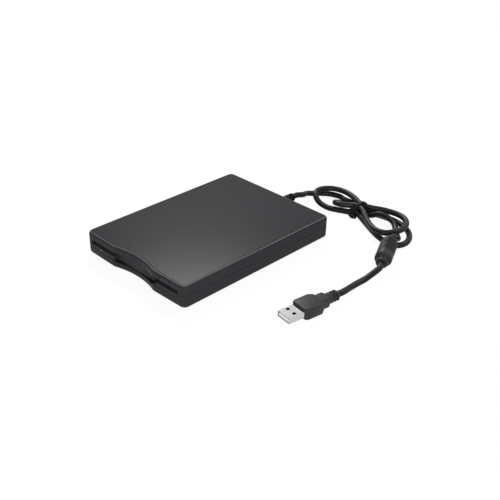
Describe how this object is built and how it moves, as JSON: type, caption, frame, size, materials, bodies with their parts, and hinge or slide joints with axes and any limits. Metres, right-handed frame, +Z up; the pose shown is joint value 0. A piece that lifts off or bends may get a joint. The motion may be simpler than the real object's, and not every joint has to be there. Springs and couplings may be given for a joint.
{
  "type": "external floppy disk drive",
  "caption": "Flat box-shaped external floppy disk drive with a finger notch over its slot, an eject button, and a bundled cord with a ribbed choke and a USB plug.",
  "frame": {"origin": "on the floor under the middle of the body, the cord left out", "axes": "+X to the drive's right seen from its front, +Y from the slot to the back, +Z up"},
  "size_m": [0.1673, 0.2001, 0.0178],
  "materials": {
    "case_plastic": "satin",
    "trim_plastic": "satin",
    "dark_plastic": "satin",
    "magnet": "matte",
    "rubber": "matte",
    "steel": "satin",
    "zinc_sheet": "satin",
    "brass": "satin",
    "board": "satin",
    "white_plastic": "satin",
    "ceramic": "gloss",
    "ferrite": "satin",
    "film": "satin",
    "lens": "gloss",
    "cord": "satin"
  },
  "bodies": {
    "case": {"top_cover": "case_plastic", "bottom_cover": "case_plastic", "rubber_foot_1": "rubber", "rubber_foot_2": "rubber", "rubber_foot_3": "rubber", "rubber_foot_4": "rubber", "case_screw_1": "steel", "case_screw_2": "steel", "front_bezel": "trim_plastic", "led_lens": "lens", "flap_spring": "steel", "chassis": "steel", "chassis_screw_1": "steel", "chassis_screw_2": "steel", "motor_board": "board", "stator": "brass", "spindle_bearing": "brass", "guide_rod": "steel", "stepper_motor": "steel", "track_zero_sensor": "dark_plastic", "switch_block": "dark_plastic", "usb_board": "board", "controller_chip": "dark_plastic", "crystal": "steel", "flat_cable": "white_plastic", "head_flex_cable": "film", "strain_relief": "rubber", "cord_lead": "cord", "cord_hank": "cord", "cord_tail": "cord", "twist_tie": "dark_plastic", "ferrite_choke": "ferrite", "plug_body": "rubber", "plug_shell": "steel", "plug_tongue": "white_plastic"},
    "flap": {"dust_flap": "trim_plastic"},
    "slide": {"slide_plate": "zinc_sheet", "eject_button": "trim_plastic"},
    "holder": {"disk_holder": "steel", "lever_pivot": "steel", "shutter_spring": "steel", "eject_spring_1": "steel", "eject_spring_2": "steel"},
    "lever": {"shutter_lever": "zinc_sheet"},
    "rotor": {"spindle_shaft": "steel", "rotor_cup": "zinc_sheet", "rotor_magnet": "magnet", "disk_hub": "steel", "hub_drive_pin": "steel"},
    "carriage": {"head_carriage": "dark_plastic", "lower_head": "ceramic", "arm_spring": "steel"},
    "arm": {"upper_head_arm": "zinc_sheet", "upper_head": "ceramic"},
    "screw": {"lead_screw": "steel"},
    "plunger_1": {"switch_plunger_1": "white_plastic"},
    "plunger_2": {"switch_plunger_2": "white_plastic"},
    "plunger_3": {"switch_plunger_3": "white_plastic"}
  },
  "joints": [
    {"name": "eject_slide", "type": "slide", "parent": "case", "child": "slide", "axis": [0, -1, 0], "range_m": [-0.0005, 0.005], "stiffness_N_per_m": 600, "deforming": ["eject_spring_1", "eject_spring_2"]},
    {"name": "holder_drop", "type": "slide", "parent": "case", "child": "holder", "axis": [0, 0, -1], "range_m": [-0.0003, 0.0026]},
    {"name": "flap_hinge", "type": "hinge", "parent": "case", "child": "flap", "pos_m": [0, -0.0658, 0.0141], "axis": [1, 0, 0], "range_deg": [0, 88], "stiffness_Nm_per_rad": 0.0001, "springref_deg": -22.92, "deforming": ["flap_spring"]},
    {"name": "lever_swing", "type": "hinge", "parent": "holder", "child": "lever", "pos_m": [-0.04, 0.023, 0.0115], "axis": [0, 0, 1], "range_deg": [0, 50], "stiffness_Nm_per_rad": 0.002, "springref_deg": -5.73, "deforming": ["shutter_spring"]},
    {"name": "spindle_spin", "type": "hinge", "parent": "case", "child": "rotor", "pos_m": [0, -0.018, 0.004], "axis": [0, 0, 1], "continuous": true},
    {"name": "carriage_slide", "type": "slide", "parent": "case", "child": "carriage", "axis": [0, -1, 0], "range_m": [0, 0.0148], "deforming": ["head_flex_cable"]},
    {"name": "lead_screw_spin", "type": "hinge", "parent": "case", "child": "screw", "pos_m": [0.012, 0.0303, 0.009], "axis": [0, 1, 0], "range_deg": [-1, 1422]},
    {"name": "head_arm_hinge", "type": "hinge", "parent": "carriage", "child": "arm", "pos_m": [0, 0.052, 0.0146], "axis": [1, 0, 0], "range_deg": [-0.7, 5.7], "deforming": ["arm_spring"]},
    {"name": "plunger_1_press", "type": "slide", "parent": "case", "child": "plunger_1", "axis": [0, 0, -1], "range_m": [0, 0.0011], "stiffness_N_per_m": 40, "springref_m": -0.0005},
    {"name": "plunger_2_press", "type": "slide", "parent": "case", "child": "plunger_2", "axis": [0, 0, -1], "range_m": [0, 0.0011], "stiffness_N_per_m": 40, "springref_m": -0.0005},
    {"name": "plunger_3_press", "type": "slide", "parent": "case", "child": "plunger_3", "axis": [0, 0, -1], "range_m": [0, 0.0011], "stiffness_N_per_m": 40, "springref_m": -0.0005}
  ],
  "couplings": [
    {"joint": "holder_drop", "follows": "eject_slide", "ratio": 0.5},
    {"joint": "head_arm_hinge", "follows": "eject_slide", "rad_per_m": 19.2},
    {"joint": "lead_screw_spin", "follows": "carriage_slide", "rad_per_m": 1675.5}
  ]
}
